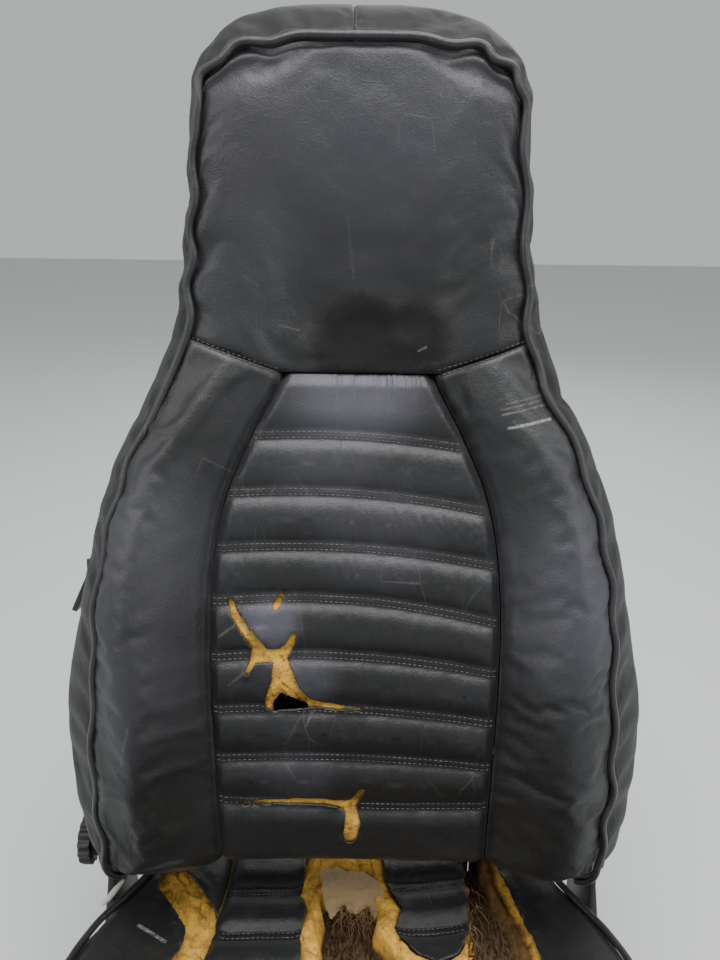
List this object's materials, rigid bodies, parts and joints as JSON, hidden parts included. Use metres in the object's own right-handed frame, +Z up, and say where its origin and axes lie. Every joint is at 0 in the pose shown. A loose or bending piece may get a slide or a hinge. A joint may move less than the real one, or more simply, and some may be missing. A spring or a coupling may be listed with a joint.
{
  "type": "reclining sports car seat",
  "caption": "High-back sports car seat with built-in headrest, side bolsters, pleated insert, recliner knob, tip-forward latch lever and slide rails",
  "frame": {"origin": "middle of the overall box, on the floor under the slide rails", "axes": "+Z up, the seat faces -Y, +X is the sitter's left; the knob and the release lever are on -X"},
  "size_m": [0.5482, 0.7128, 0.9751],
  "materials": {
    "zinc": "zinc plated, dulled",
    "black_steel": "semi-gloss black paint, rusty at the edges",
    "leatherette": "worn black leatherette, satin",
    "piping": "black leatherette piping, satin",
    "foam": "aged yellow polyurethane foam, matt",
    "coir": "rubberised coir, matt",
    "black_plastic": "moulded black, satin"
  },
  "bodies": {
    "floor_rails": {"rail_lower_left": "zinc", "rail_lower_right": "zinc", "rail_tie": "black_steel", "floor_bolt_front_left": "zinc", "floor_bolt_rear_left": "zinc", "floor_bolt_front_right": "zinc", "floor_bolt_rear_right": "zinc"},
    "seat_base": {"rail_upper_left": "black_steel", "rail_upper_right": "black_steel", "base_side_left": "black_steel", "base_side_right": "black_steel", "base_cross_front": "black_steel", "base_cross_rear": "black_steel", "cushion_spring_1": "black_steel", "cushion_spring_2": "black_steel", "cushion_spring_3": "black_steel", "coir_pad": "coir", "cushion_foam": "foam", "cushion_insert_cover": "leatherette", "cushion_bolster_left": "leatherette", "cushion_bolster_right": "leatherette", "cushion_skirt": "leatherette", "cushion_piping": "piping", "hinge_bracket_left": "black_steel", "hinge_bracket_right": "black_steel", "recliner_housing": "black_steel", "hinge_cap": "black_plastic", "hinge_trim_left": "black_plastic", "hinge_trim_right": "black_plastic"},
    "slide_release": {"release_bar": "zinc", "release_arm_left": "zinc", "release_arm_right": "zinc"},
    "knob": {"recliner_knob": "black_plastic"},
    "recliner_arms": {"recline_shaft": "zinc", "recliner_arm_left": "black_steel", "recliner_arm_right": "black_steel"},
    "backrest": {"frame_upright_left": "black_steel", "frame_upright_right": "black_steel", "frame_cheek_left": "black_steel", "frame_cheek_right": "black_steel", "frame_cross_lower": "black_steel", "frame_cross_upper": "black_steel", "back_spring_1": "black_steel", "back_spring_2": "black_steel", "backrest_foam": "foam", "insert_cover": "leatherette", "bolster_cover_left": "leatherette", "bolster_cover_right": "leatherette", "headrest_cover": "leatherette", "boxing_left": "leatherette", "boxing_right": "leatherette", "backrest_piping": "piping", "backrest_shell": "leatherette", "lever_bezel": "black_plastic"},
    "latch": {"latch_shaft": "zinc", "latch_hook_left": "black_steel", "latch_hook_right": "black_steel"},
    "push_rod_body": {"push_rod": "zinc"},
    "lever": {"release_lever": "black_plastic"}
  },
  "joints": [
    {"name": "seat_slide", "type": "slide", "parent": "floor_rails", "child": "seat_base", "axis": [0, -1, 0], "range_m": [-0.1, 0.1]},
    {"name": "slide_release_pull", "type": "hinge", "parent": "seat_base", "child": "slide_release", "pos_m": [0, -0.16, 0.036], "axis": [-1, 0, 0], "range_deg": [0, 5], "stiffness_Nm_per_rad": 6, "springref_deg": -5.73},
    {"name": "recline", "type": "hinge", "parent": "seat_base", "child": "recliner_arms", "pos_m": [0, 0.146, 0.2], "axis": [-1, 0, 0], "range_deg": [-3, 45]},
    {"name": "knob_turn", "type": "hinge", "parent": "seat_base", "child": "knob", "pos_m": [0, 0.146, 0.2], "axis": [-1, 0, 0], "range_deg": [-24, 360]},
    {"name": "tip_forward", "type": "hinge", "parent": "recliner_arms", "child": "backrest", "pos_m": [0, 0.146, 0.2], "axis": [1, 0, 0], "range_deg": [0, 40]},
    {"name": "latch_turn", "type": "hinge", "parent": "backrest", "child": "latch", "pos_m": [0, 0.1731, 0.2963], "axis": [-1, 0, 0], "range_deg": [0, 26.25], "stiffness_Nm_per_rad": 0.8, "springref_deg": -17.19},
    {"name": "lever_pull", "type": "hinge", "parent": "backrest", "child": "lever", "pos_m": [-0.255, 0.21664, 0.48333], "axis": [0, 0.9703, -0.2419], "range_deg": [0, 15.1]},
    {"name": "rod_push", "type": "slide", "parent": "backrest", "child": "push_rod_body", "axis": [0, -0.2419, -0.9703], "range_m": [0, 0.0093]}
  ],
  "couplings": [
    {"joint": "knob_turn", "follows": "recline", "ratio": 8},
    {"joint": "lever_pull", "follows": "latch_turn", "ratio": 0.5714},
    {"joint": "rod_push", "follows": "latch_turn", "m_per_rad": 0.0192}
  ]
}
